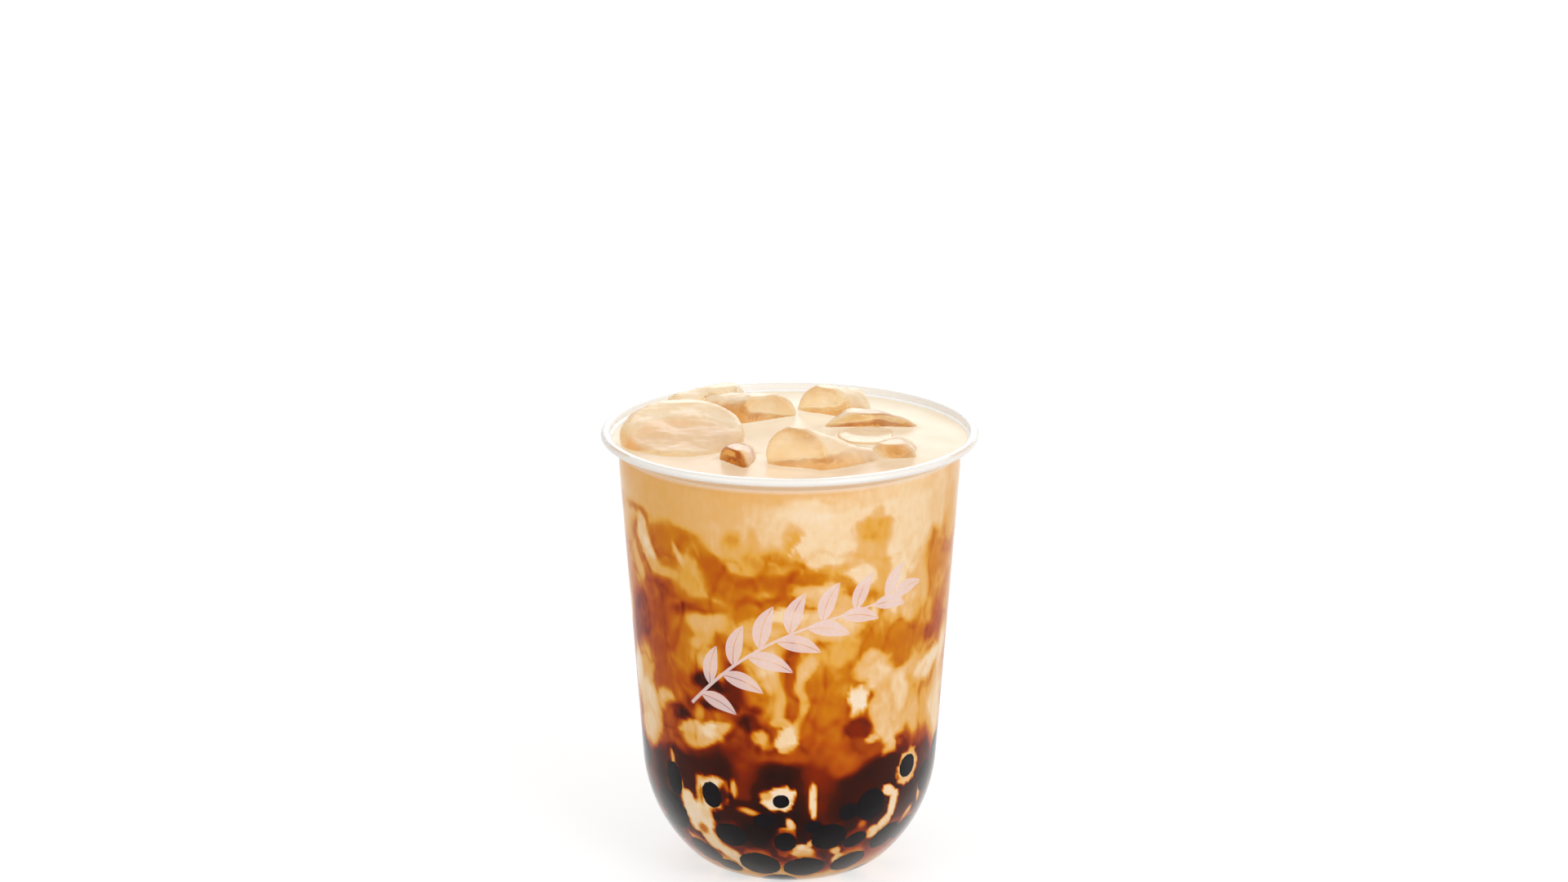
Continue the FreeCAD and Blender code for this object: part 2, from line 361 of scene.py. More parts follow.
ice = {
    "grain": 0.36,          # size of the steps of the remade surface
    "smoothing": 3,
    "swell": 0.30,
    "dent": 0.62,
    "dentSize": 6.5,
    "ripple": 0.12,
    "rippleSize": 1.9,
    "ridge": 0.12,
    "ridgeReach": 12,       # rounds of smoothing against which a ridge stands out
    "ridgeBlur": 3,
    # what faces this way is painted paler, partly milk film and partly painted light; what faces the other
    # way is painted browner, partly syrup and partly painted shade
    "milky": np.array((0.45, 0.30, 0.84)),
    "shadedSide": np.array((-0.50, -0.75, -0.10)),
    # how brown each piece and the drink under it are painted, partly painted shade under the ice
    "warmth": {
        "ice_left": 0.40, "ice_back_left": 0.25, "ice_middle": 0.70, "ice_back": 0.50, "ice_right": 0.90,
        "ice_slab": 0.45, "ice_front": 0.65, "ice_front_right": 0.55, "ice_chip": 1.8,
    },
}


def ridgesOf(piece):
    # how far each point stands out from the points around it, from 0 in a hollow to 1 on a ridge
    points, normals = readPoints(piece), readNormals(piece)
    ends = np.empty(len(piece.data.edges) * 2, dtype=np.int32)
    piece.data.edges.foreach_get("vertices", ends)
    start, end = ends.reshape(-1, 2).T
    count = np.bincount(start, minlength=len(points)) + np.bincount(end, minlength=len(points))

    def around(values):
        total = np.bincount(start, values[end], len(points)) + np.bincount(end, values[start], len(points))
        return total / count

    soft = points.copy()
    for step in range(ice["ridgeReach"]):
        soft = np.column_stack([around(soft[:, axis]) for axis in range(3)])
    stand = np.einsum("ij,ij->i", points - soft, normals) / mm
    for step in range(ice["ridgeBlur"]):
        stand = around(stand)
    return np.clip((stand - np.median(stand)) / ice["ridge"], -1, 1) * 0.5 + 0.5


def makeIce(name, seed):
    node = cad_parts[name]
    piece = bpy.data.objects.new(name + "_wet", node.data.copy())
    bpy.context.scene.collection.objects.link(piece)
    piece.data.materials.clear()
    pick(piece)
    bpy.ops.object.mode_set(mode="EDIT")
    bpy.ops.mesh.select_all(action="SELECT")
    bpy.ops.mesh.remove_doubles(threshold=0.002 * mm)
    bpy.ops.object.mode_set(mode="OBJECT")
    applyModifier(piece, "REMESH", mode="VOXEL", voxel_size=ice["grain"] * mm)
    applyModifier(piece, "SMOOTH", factor=0.5, iterations=ice["smoothing"])
    points, normals = readPoints(piece), readNormals(piece)
    dents = noiseAt(points, ice["dentSize"] * mm, seed)
    ripples = noiseAt(points, ice["rippleSize"] * mm, seed + 3)
    depth = ice["swell"] + dents * ice["dent"] + ripples * ice["ripple"]
    top = points[:, 2].max()
    points += normals * depth[:, None] * mm
    points[:, 2] = np.minimum(points[:, 2], top)
    writePoints(piece, points)
    pick(piece)
    bpy.ops.object.shade_smooth()
    normals = readNormals(piece)
    # painted light and shade: faces turned up, right and back are paler, faces turned to the front and
    # left are browner
    writeTone(piece, "filmAndLight", smooth(-0.1, 0.9, normals @ ice["milky"]))
    writeTone(piece, "ridge", ridgesOf(piece))
    writeTone(piece, "amber", ice["warmth"][name] * smooth(-0.1, 0.8, normals @ ice["shadedSide"]))
    return piece


def iceMaterial():
    material, root = newMaterial("ice wet with milk tea")
    place = placeOf(root)
    large = noiseOf(root, place, 7.0, 2.0, 0.5)
    fine = noiseOf(root, place, 2.2, 3.0, 0.6, (1, 1, 0.4))
    filmAndLight = attributeOf(root, "filmAndLight")
    ridge = attributeOf(root, "ridge")
    amber = attributeOf(root, "amber")
    # ridges are painted a little browner, a painted shade along the edges
    brown = amber * 0.55 + (large - 0.5) * 0.8 + (ridge - 0.5) * 0.15 + 0.06
    tint = root.add("ValToRGB", {"stops": (
        (0.00, colour(253, 240, 218)), (0.25, colour(248, 226, 186)),
        (0.55, colour(240, 202, 140)), (0.95, colour(212, 142, 52)),
    )}, {0: brown})
    bump = root.add("Bump", None, {"Strength": 0.16, "Distance": 0.3 * mm, "Height": fine})
    clear = root.add("BsdfPrincipled", None, {
        "Base Color": tint, "Roughness": 0.05, "IOR": 1.23, "Normal": bump, "Transmission Weight": 0.85,
    })
    milk = root.add("ValToRGB", {"stops": (
        (0.00, colour(250, 232, 206)), (0.30, colour(245, 218, 180)),
        (0.60, colour(234, 194, 136)), (1.00, colour(206, 136, 58)),
    )}, {0: brown + (fine - 0.5) * 0.3})
    coated = root.add("BsdfPrincipled", None, {
        "Base Color": milk, "Roughness": 0.16, "Specular IOR Level": 0.2, "Normal": bump,
    })
    cover = root.add("MapRange", None, {
        "Value": filmAndLight * 0.6 + large * 0.5, "From Min": 0.35, "From Max": 0.95,
        "To Min": 0.06, "To Max": 0.58,
    })
    shader = root.add("MixShader", None, {0: cover, 1: clear, 2: coated})
    return finishMaterial(material, root, openToLight(root, shader))


iceFinish = iceMaterial()
icePieces = []
for number, name in enumerate(ice["warmth"]):
    piece = makeIce(name, number + 1)
    piece.data.materials.append(iceFinish)
    finishPiece(piece, "ice", name)
    icePieces.append(piece)
print("ice made")


tea = {
    "level": 111.7,
    "intoWall": 0.08,       # the drink reaches this far into the wall, so no air shows
    "turns": 360,
    "sideStep": 0.78,
    "topStep": 0.75,
    "firstStep": 0.15,      # finer steps beside the wall
    "edgeStep": 0.25,
    "edgeWidth": 1.2,
    "climb": 0.25,          # how far it creeps up the wall
    "climbReach": 0.8,
    "iceClimb": 0.45,       # and up the ice
    "iceReach": 0.9,
    "nearIce": 4.0,         # ice farther off than this doesn't count
    "ripple": 0.12,
    "rippleSize": 9.0,
    "calmFrom": 43.5,       # beside the wall there are no ripples
    "calmWidth": 4.0,
    "hollow": 3.6,          # under the ice it lies this much lower
    "topFrom": 111.0,       # what faces up above this height is surface
    "arc": 41.0,            # radius at which angles become mm along the wall
}

# tones of the syrup: 0 is cream, 0.5 amber, 1 nearly black
marbling = {
    "drift": 2.4,           # how far the patches wander from their places
    "driftSize": 9.0,
    "stray": 0.8,
    "straySize": 3.4,
    "wander": 1.5,          # how far the plain tones wander up and down
    "torn": 0.26,           # ragged edges, coarse and fine
    "frayed": 0.16,
    "mottle": 0.03,
    "cloud": 0.12,
    "wisp": 0.04,
    "darkVein": 0.09,
    "paleVein": 0.06,
    "veinSharpness": 6,
    "veinDrift": 0.8,
    "ringWidth": 0.6,       # syrup round the lowest pearls
    "ringTop": 20,
    "ringTones": ((6, 0.42), (14, 0.66), (20, 0.80)),
    # painted shade on the left side
    "leftShade": 0.08,
    "overBedDepth": 0.12,
    "betweenPearls": 0.10,
    # painted light on the right under the lip
    "litRightUnderLip": 0.06,
}

# tone at each height, before the patches are painted over it; the darker tone at the very top is painted
# shade under the lip
plainTones = (
    (0, 0.20), (4, 0.38), (10, 0.76), (20, 0.88), (30, 0.89), (35, 0.84), (38, 0.72), (42, 0.62),
    (48, 0.57), (54, 0.57), (60, 0.53), (70, 0.47), (80, 0.45), (88, 0.43), (94, 0.36), (99, 0.26),
    (104, 0.24), (112, 0.30),
)

# painted in this order: angle, height, half width, half height, tilt, tone, softness
swirls = (
    # milky top, tan on the left and under the lip as painted shade, and cream below it on the right
    (-48, 103, 11, 5.5, 0, 0.31, 0.4), (-28, 103, 7, 4.5, 0, 0.28, 0.4),
    (-20, 108, 16, 2.5, 0, 0.29, 0.5), (-6, 100, 9, 4.5, 0, 0.19, 0.5),
    (4, 102.5, 6, 3.5, 10, 0.13, 0.5), (26, 101.5, 20, 6.5, 0, 0.12, 0.4),
    (10, 105, 5, 2.2, 20, 0.07, 0.5), (48, 98, 9, 9, 0, 0.12, 0.45), (14, 107.5, 3, 0.9, 0, 0.24, 0.6),
    (60, 100, 4, 9, 0, 0.19, 0.5), (33, 107.5, 16, 1.6, 6, 0.20, 0.6),
    # upper left: brown hook round two pale petals, a gold bar falling to the right
    (-65, 99, 7, 1.6, -8, 0.48, 0.5), (-59, 97, 2.2, 3.4, 30, 0.52, 0.5),
    (-62, 90, 6, 6.5, 0, 0.46, 0.4), (-48, 91.5, 4.5, 6, 0, 0.47, 0.4),
    (-41, 96.5, 6, 2.2, -14, 0.44, 0.5), (-35, 92.5, 6.5, 3.4, -26, 0.45, 0.45),
    (-27.5, 88, 4.0, 4.0, 0, 0.53, 0.5), (-24, 98, 3.8, 3.6, 0, 0.25, 0.4),
    (-58.5, 92, 6.6, 2.8, -62, 0.20, 0.25), (-56.5, 90, 3.0, 1.4, -55, 0.12, 0.5),
    (-67.5, 85, 2.2, 6.0, 8, 0.32, 0.35), (-64, 80.5, 1.3, 4, 8, 0.30, 0.4),
    (-50, 85.8, 5.5, 1.8, -12, 0.32, 0.5), (-39, 89, 3.6, 0.8, -50, 0.18, 0.5),
    (-36, 83.6, 4.6, 3.4, 0, 0.36, 0.4), (-36, 87, 2.4, 3, 0, 0.36, 0.5),
    (-54, 79.5, 7, 4, 0, 0.55, 0.45),
    # tan tongue, gold and the dark amber band across the middle
    (-19.5, 96, 2.2, 3.2, 0, 0.42, 0.5), (-17, 91.5, 4.4, 5.2, 0, 0.33, 0.3),
    (-13, 97, 1.2, 3.2, 20, 0.33, 0.5), (-7, 91, 5.6, 3.4, 0, 0.44, 0.45),
    (1, 95.5, 2.6, 5, 0, 0.40, 0.4), (-12, 85.6, 12, 1.8, 2, 0.54, 0.5),
    (-22, 82.5, 5.5, 2.2, -20, 0.50, 0.5), (-8, 80.8, 9, 1.0, 4, 0.55, 0.5),
    (0, 86, 3.2, 2.6, 30, 0.56, 0.5), (-16, 77.5, 8, 2.2, 0, 0.49, 0.5),
    (-37, 76, 7.5, 1.5, 6, 0.65, 0.5), (0.5, 81, 2.2, 3, 0, 0.56, 0.5),
    (-30, 73.5, 7, 3.2, 6, 0.28, 0.4), (-2, 77, 4.2, 1.5, 3, 0.14, 0.3),
    (7.5, 88, 5.6, 1.5, -4, 0.53, 0.35), (14.5, 86.8, 2.6, 0.8, -14, 0.46, 0.5),
    (3, 91, 4, 1.6, 0, 0.47, 0.5),
    # left flank
    (-57, 69, 8.5, 10, 0, 0.57, 0.5), (-69, 68, 5, 9, 0, 0.66, 0.5), (-66, 58, 4.5, 5, 0, 0.34, 0.5),
    (-76, 54, 3.2, 7, 0, 0.04, 0.4), (-54, 59, 4, 6, 0, 0.56, 0.5),
    (-66, 46.5, 6.6, 7.5, 0, 0.12, 0.35), (-54, 51, 3.4, 2.8, 20, 0.24, 0.4),
    (-70, 40, 4, 5, 0, 0.16, 0.5),
    # round patch on the left
    (-40, 66, 3.4, 6.5, 0, 0.46, 0.4), (-32.5, 66, 5.2, 5.2, 0, 0.38, 0.45),
    (-34, 68.5, 3.0, 1.6, 20, 0.30, 0.5), (-31, 63, 2.6, 2.0, 0, 0.30, 0.4),
    (-20.5, 68, 2.4, 2.6, 0, 0.62, 0.5), (-22, 64, 3, 2, 0, 0.50, 0.5),
    # column of tan in the middle
    (-12, 68, 6.4, 7.5, 0, 0.36, 0.4), (-10.5, 72.5, 5, 2.2, 0, 0.26, 0.5),
    (-9, 64.5, 3.6, 4.2, -30, 0.17, 0.4), (-10.5, 56, 5, 5.5, 0, 0.45, 0.4),
    (-7, 60, 2.2, 3, 0, 0.24, 0.5), (-13, 52, 2.2, 1.2, 0, 0.68, 0.6), (-4, 55, 1.6, 5, 0, 0.33, 0.5),
    (-15.5, 62, 1.2, 4, 20, 0.34, 0.5), (0.8, 66.5, 1.7, 5.5, -4, 0.64, 0.45),
    (1.6, 59, 1.2, 4, 0, 0.60, 0.5),
    # upper right: lobed cream, the gold leaf shape, brown arcs
    (11, 96.5, 7.0, 3.8, 0, 0.12, 0.15), (7.5, 92.8, 3.2, 2.6, 0, 0.16, 0.2),
    (16, 93.4, 5, 2.4, 10, 0.13, 0.25), (31, 97.5, 5.2, 5.4, 0, 0.39, 0.25),
    (31, 103, 1.8, 1.8, 0, 0.26, 0.4), (31.5, 94.5, 4.0, 2.4, 0, 0.43, 0.5),
    (27, 91.5, 6, 2.6, 8, 0.30, 0.5), (18, 89.8, 3.6, 1.2, -10, 0.36, 0.5),
    (45, 92, 6, 8, 0, 0.13, 0.4), (12, 83.4, 7.4, 3.0, 2, 0.28, 0.25), (13, 84.6, 5, 1.6, 4, 0.22, 0.5),
    (25, 87.4, 4.2, 3.0, -20, 0.12, 0.25), (20.5, 85.6, 5.4, 1.2, -48, 0.45, 0.35),
    (27.5, 79.5, 4.6, 1.3, -58, 0.43, 0.4), (31.5, 73.5, 3.6, 1.3, -70, 0.46, 0.4),
    (40, 83, 4.2, 8, 0, 0.12, 0.3), (31, 80, 4.2, 1.0, -64, 0.42, 0.4),
    (33.5, 75.5, 1.2, 4, 10, 0.45, 0.4), (30, 77.5, 0.9, 2.8, 12, 0.20, 0.4),
    (13, 75.2, 8.6, 4.2, -4, 0.19, 0.35), (16.5, 77.5, 2.2, 0.9, 20, 0.30, 0.6),
    (21, 80, 4, 1.6, -40, 0.30, 0.5), (10, 72, 6, 2.2, 0, 0.24, 0.5), (5, 74, 2, 3, 0, 0.24, 0.5),
    (54, 80, 4.6, 9, 4, 0.30, 0.5), (47, 76, 2.0, 8, 0, 0.22, 0.5), (61, 86, 3.6, 7.5, 6, 0.47, 0.5),
    (58.5, 90, 2.8, 4.4, 10, 0.50, 0.5), (68, 92, 3.2, 5, 0, 0.44, 0.5), (72, 97, 2.6, 5, 0, 0.36, 0.5),
    (70, 84, 5, 9, 0, 0.50, 0.6), (61, 82, 3, 6, 0, 0.49, 0.6), (57, 72, 6, 4, 0, 0.42, 0.5),
    # lower right
    (41, 68.5, 8.5, 2.8, 10, 0.51, 0.4), (50, 67, 5.5, 3.0, 8, 0.55, 0.5),
    (38.5, 65, 3.4, 2.6, 0, 0.54, 0.4), (68, 70, 3.6, 6, 0, 0.62, 0.5), (61, 67, 3, 2.4, 0, 0.67, 0.5),
    (22, 68, 3.6, 3.4, 0, 0.40, 0.5), (15, 65.5, 4.6, 3.4, 0, 0.36, 0.4),
    (22.5, 61.5, 3.0, 2.6, 0, 0.55, 0.5), (13, 57.5, 5, 2.6, 0, 0.54, 0.5),
    (21, 57, 3.4, 2.4, 0, 0.47, 0.5), (12, 47, 8, 9, 0, 0.53, 0.5), (14, 46, 3.2, 6, 0, 0.50, 0.5),
    (5.4, 61.5, 1.4, 5.0, -6, 0.24, 0.35), (4.2, 53.5, 1.3, 5.0, -6, 0.32, 0.4),
    (3, 47.5, 1.2, 3, 0, 0.36, 0.5), (31.5, 63, 4.6, 2.6, 8, 0.22, 0.3),
    (36, 59, 4.6, 3.4, 0, 0.19, 0.35), (48, 59, 5.5, 2.4, 12, 0.20, 0.4),
    (62, 57.5, 8, 2.8, 16, 0.10, 0.4), (74, 60, 3, 6, 0, 0.10, 0.5), (42, 49, 7.6, 9, 0, 0.25, 0.25),
    (45, 55, 3.2, 5, 0, 0.17, 0.4), (50.5, 51, 1.1, 6, 0, 0.32, 0.5), (41, 45.5, 3.8, 4, 0, 0.20, 0.5),
    (62, 48, 5.2, 6, 0, 0.36, 0.5), (54, 47, 2.0, 6, 0, 0.26, 0.5), (27, 54, 3.0, 4.6, 0, 0.05, 0.2),
    (26, 50.5, 2.2, 2.2, 0, 0.08, 0.25), (26.5, 46.5, 4.4, 3.2, 0, 0.72, 0.35),
    (25, 42, 3.4, 2.2, 0, 0.61, 0.5), (32.5, 43, 2.2, 1.0, 0, 0.22, 0.3),
    (40.5, 39.8, 2.8, 3.0, 0, 0.20, 0.2), (33, 39.6, 3.6, 1.6, 0, 0.64, 0.5),
    (73, 45, 5.0, 10, 0, 0.12, 0.5),
    # lower left and middle
    (-46, 49.2, 5.4, 2.6, -6, 0.78, 0.4), (-52, 44.5, 1.5, 5, -14, 0.55, 0.35),
    (-47, 39.2, 4, 1.3, -20, 0.56, 0.4), (-31, 58, 6, 2.6, 0, 0.80, 0.4),
    (-21, 56, 3.4, 7, 0, 0.76, 0.4), (-30, 52, 7, 1.8, 0, 0.76, 0.5),
    (-37, 54.5, 2.2, 2.2, 0, 0.56, 0.5), (-35.5, 49.5, 1.5, 2.4, 0, 0.40, 0.4),
    (-31, 54.8, 3.2, 1.0, 12, 0.56, 0.5), (-36, 44.0, 6.8, 2.9, -3, 0.25, 0.25),
    (-40, 41.8, 3.4, 1.8, 0, 0.32, 0.5), (-30.5, 45.8, 3.4, 1.8, 10, 0.10, 0.4),
    (-26, 46.2, 2.8, 1.3, 14, 0.24, 0.4), (-14, 48, 5, 2.2, 0, 0.72, 0.4),
    (-21, 43, 3, 3.6, 0, 0.58, 0.5), (-10.6, 45, 2.6, 2.2, 0, 0.32, 0.25),
    (-8, 42.6, 1.4, 1.4, 0, 0.40, 0.3), (-0.6, 45, 3.0, 3.6, 0, 0.12, 0.2),
    (-3, 49.6, 2.6, 1.2, 0, 0.28, 0.4), (-2, 42.2, 1.6, 1.6, 0, 0.16, 0.2),
    (-9, 39.4, 7, 1.8, 0, 0.58, 0.5), (9, 40, 8, 3, 0, 0.54, 0.5), (21, 37, 6, 2.4, 6, 0.54, 0.5),
)

# round the pearls: pools of dark syrup with amber between them, then cream
bedSwirls = (
    (-42, 34.4, 6.5, 3.4, -8, 0.84, 0.8), (-31, 33.4, 6, 3.6, 6, 0.83, 0.8),
    (-5, 32.8, 6.4, 3.0, 0, 0.84, 0.95), (27, 31, 7, 2.6, 24, 0.86, 0.6),
    (38, 34.5, 7, 3.0, 10, 0.88, 0.5), (50, 34, 5, 4.0, -10, 0.84, 0.6),
    (-53, 35.5, 3.4, 2.6, 0, 0.82, 0.4), (-18.5, 36, 3.4, 6.5, -4, 0.63, 0.95),
    (-18.6, 29, 2.4, 4.0, -4, 0.70, 0.7), (10, 33, 4.2, 7, 3, 0.65, 0.95),
    (14.5, 27, 4.0, 5, 0, 0.74, 0.7), (-20, 24, 6, 3, 0, 0.84, 0.5), (-12, 30.5, 2, 1.6, 0, 0.80, 0.5),
    (22, 24.5, 4, 5, 0, 0.84, 0.6), (-52, 34.8, 0.8, 2.4, 16, 0.34, 0.3),
    (-48.5, 29, 1.0, 4.0, 14, 0.28, 0.25), (-44.5, 24.0, 3.0, 3.4, 20, 0.10, 0.2),
    (-40, 20.5, 5.4, 4.8, 0, 0.07, 0.2), (-36, 22.5, 2.0, 2.0, 0, 0.16, 0.4),
    (-32.5, 28.2, 4.9, 4.7, 0, 0.12, 0.22), (-36, 14.5, 4.6, 3.0, -40, 0.12, 0.25),
    (-29, 11.0, 4.6, 2.6, -36, 0.10, 0.25), (-23.5, 8.0, 2.6, 2.6, 0, 0.16, 0.3),
    (-46, 12.5, 3.6, 1.2, -30, 0.20, 0.3), (-39.5, 17.5, 1.8, 1.5, 0, 0.50, 0.35),
    (-22.6, 30.4, 0.9, 2.6, 6, 0.28, 0.4), (-27.5, 28.2, 1.6, 2.8, 0, 0.80, 0.4),
    (-37, 27.5, 0.8, 2.4, 0, 0.52, 0.4), (-16.5, 24.4, 3.0, 0.9, -6, 0.32, 0.5),
    (-5.0, 28.5, 4.8, 3.0, 4, 0.06, 0.16), (-9.5, 29.5, 1.8, 1.2, 0, 0.30, 0.4),
    (9.0, 27.6, 1.0, 4.6, 2, 0.10, 0.2), (-1.6, 16.6, 3.2, 4.2, 0, 0.10, 0.2),
    (0.2, 21.4, 1.2, 2.2, 20, 0.16, 0.25), (5.0, 13.2, 3.8, 1.9, -12, 0.08, 0.2),
    (8.5, 15.2, 1.8, 0.9, 40, 0.20, 0.3), (42.6, 27.6, 2.6, 1.4, -24, 0.10, 0.2),
    (46.0, 23.6, 1.8, 4.0, -10, 0.08, 0.18), (43, 18.8, 2.6, 2.2, 30, 0.10, 0.2),
    (37.5, 16.6, 2.6, 2.0, 20, 0.14, 0.3), (31, 19.4, 1.4, 1.4, 0, 0.50, 0.5),
    (24.5, 9.5, 2.4, 1.6, 0, 0.16, 0.3), (21, 12.4, 2.2, 1.2, -20, 0.20, 0.3),
    (28, 4.6, 7, 1.1, 16, 0.24, 0.4), (52.5, 32.6, 4.4, 4.4, -10, 0.20, 0.14),
    (64, 24.4, 0.9, 4.0, 14, 0.24, 0.3), (58, 18.5, 2.6, 1.2, 50, 0.26, 0.4),
    (-9, 4.0, 6, 1.2, 0, 0.26, 0.5), (11, 3.6, 6, 1.0, 0, 0.36, 0.5),
    (-3.5, 12.6, 1.2, 1.2, 0, 0.55, 0.5),
)

# pearls pressed against the front: angle, height, half width, half height, tilt
frontPearls = (
    (-51.5, 29.5, 3.0, 4.6, 8), (-57, 20.0, 6.0, 5.6, 0), (-64, 13.4, 4.4, 3.4, -20),
    (-45, 9.4, 5.0, 4.2, -30), (-32, 27.8, 2.9, 3.6, 10), (-25.5, 17.0, 4.4, 3.9, 0),
    (-15.2, 8.2, 5.2, 5.0, 0), (-3.4, 28.0, 2.2, 1.9, 0), (-2.0, 16.2, 3.0, 3.3, 0),
    (7.4, 7.4, 5.2, 4.6, 0), (16.8, 17.2, 4.6, 4.4, 0), (31, 7.8, 4.8, 4.0, 20),
    (34.0, 24.8, 4.2, 4.6, 0), (47.5, 13.8, 4.8, 4.0, 30), (52.3, 32.6, 3.1, 3.2, -10),
    (67.5, 27.0, 3.8, 4.4, 0), (29.5, 15.2, 3.4, 2.6, 20), (9.5, 20.6, 2.4, 2.0, 0),
    (60, 14, 4.2, 3.6, 30), (24, 24.0, 2.8, 2.6, 0), (-10.0, 22.4, 3.0, 2.2, 0),
    (-34, 6.0, 3.6, 3.0, 0),
)


def teaOutline():
    reach = tea["intoWall"]
    inside = [(across + reach, up - reach * (up < 30)) for across, up in insideOutline[1:]]
    wall = divided([(0, insideOutline[0][1] - reach)] + inside, tea["sideStep"])
    top = tea["level"] + tea["climb"]
    wall = [point for point in wall if point[1] <= top]
    edge = wall[-1][0]
    surface = []
    across = edge - tea["firstStep"]
    while across > tea["topStep"]:
        creep = tea["climb"] * math.exp(-(edge - across) / tea["climbReach"])
        surface.append((across, tea["level"] + creep))
        across -= tea["edgeStep"] if edge - across < tea["edgeWidth"] else tea["topStep"]
    return wall + surface + [(0, tea["level"])]


def paint(tones, angle, height, drift, patches, rough):
    # lays patches over the tones: a hard edge is torn and ragged, a soft one is even
    for turn, up, halfWidth, halfHeight, tilt, tone, softness in patches:
        loose = min(1.0, max(halfWidth, halfHeight) / 5)
        along = (angle - turn + 180) % 360 - 180
        along = np.radians(along) * tea["arc"] + drift[0] * loose
        rise = height - up + drift[1] * loose
        cosine, sine = math.cos(math.radians(tilt)), math.sin(math.radians(tilt))
        across = (along * cosine + rise * sine) / halfWidth
        upward = (rise * cosine - along * sine) / halfHeight
        tear = marbling["torn"] * rough[0] + marbling["frayed"] * rough[1]
        away = np.hypot(across, upward) * (1 + max(0.0, 1.4 - 3.0 * softness) * tear)
        cover = 1 - smooth(1 - softness, 1 + softness, away)
        tones += (tone + marbling["mottle"] * rough[2] - tones) * cover
    return tones


def backSwirls():
    # the side that faces away carries the same kinds of swirls, thrown at random
    draw = random.Random(11)
    thrown = []
    for count, low, high, kinds in (
        (16, 62, 100, ((0.10, 5, 4), (0.20, 6, 5), (0.45, 7, 3), (0.52, 9, 2.5))),
        (20, 40, 74, ((0.08, 5, 5), (0.15, 7, 5), (0.48, 5, 8), (0.68, 6, 5), (0.72, 7, 4))),
    ):
        for number in range(count):
            tone, wide, tall = kinds[number % len(kinds)]
            thrown.append((
                draw.uniform(86, 274), draw.uniform(low, high), wide * draw.uniform(0.6, 1.2),
                tall * draw.uniform(0.6, 1.3), draw.uniform(-40, 40), tone, draw.uniform(0.2, 0.5),
            ))
    bed = [
        (draw.uniform(76, 284), draw.uniform(8, 34), draw.uniform(1.5, 4.4), draw.uniform(2, 4.8),
         draw.uniform(-50, 50), draw.uniform(0.05, 0.2), 0.2)
        for number in range(22)
    ]
    return thrown + bed


def treeOf(piece):
    corners = [vertex.co for vertex in piece.data.vertices]
    return BVHTree.FromPolygons(corners, [face.vertices for face in piece.data.polygons])


def meetIce(points, onTop):
    # how far the surface rises beside the ice or sinks under it, where it lies under ice and how brown its
    # painted shade is there
    trees = [treeOf(piece) for piece in icePieces]
    browns = list(ice["warmth"].values())
    lift, iced, warmth = np.zeros((3, len(points)))
    farthest = tea["nearIce"] * mm
    for index in np.nonzero(onTop)[0]:
        here = Vector(points[index])
        near = min((tree.find_nearest(here, farthest)[3] or farthest) for tree in trees) / mm
        hits = [tree.ray_cast(here, Vector((0, 0, 1)))[1] for tree in trees]
        above = [brown for brown, normal in zip(browns, hits) if normal and normal.z > 0]
        lift[index] = tea["iceClimb"] * math.exp(-near / tea["iceReach"])
        if above:
            iced[index] = smooth(0, 1.2, near)
            warmth[index] = max(above)
            lift[index] -= tea["hollow"] * smooth(1.3, 5.0, near)
    return lift, iced, warmth


def driftOf(flat, seed):
    far = marbling["drift"] * noiseAt(flat, marbling["driftSize"], seed)
    return far + marbling["stray"] * noiseAt(flat, marbling["straySize"], seed + 1)


def band(value, start, full, fading, end):
    return smooth(start, full, value) * (1 - smooth(fading, end, value))


def facing(angle, turn):
    # 1 where the side faces this way, 0 from a quarter turn on
    return np.clip(np.cos(np.radians(angle - turn)), 0, 1) ** 2


def veinsOf(flat, squeeze, drift, size, seed):
    # thin threads where the noise goes through zero
    place = flat * (1, 1, squeeze) + marbling["veinDrift"] * drift[:, None]
    thread = 1 - np.abs(noiseAt(place, size, seed)) * marbling["veinSharpness"]
    return np.clip(thread, 0, 1) ** 2


def ringsRoundPearls():
    wider = marbling["ringWidth"]
    heights, tones = zip(*marbling["ringTones"])
    return [
        (turn, up, halfWidth + wider, halfHeight + wider, tilt, np.interp(up, heights, tones), 0.3)
        for turn, up, halfWidth, halfHeight, tilt in frontPearls if up < marbling["ringTop"]
    ]


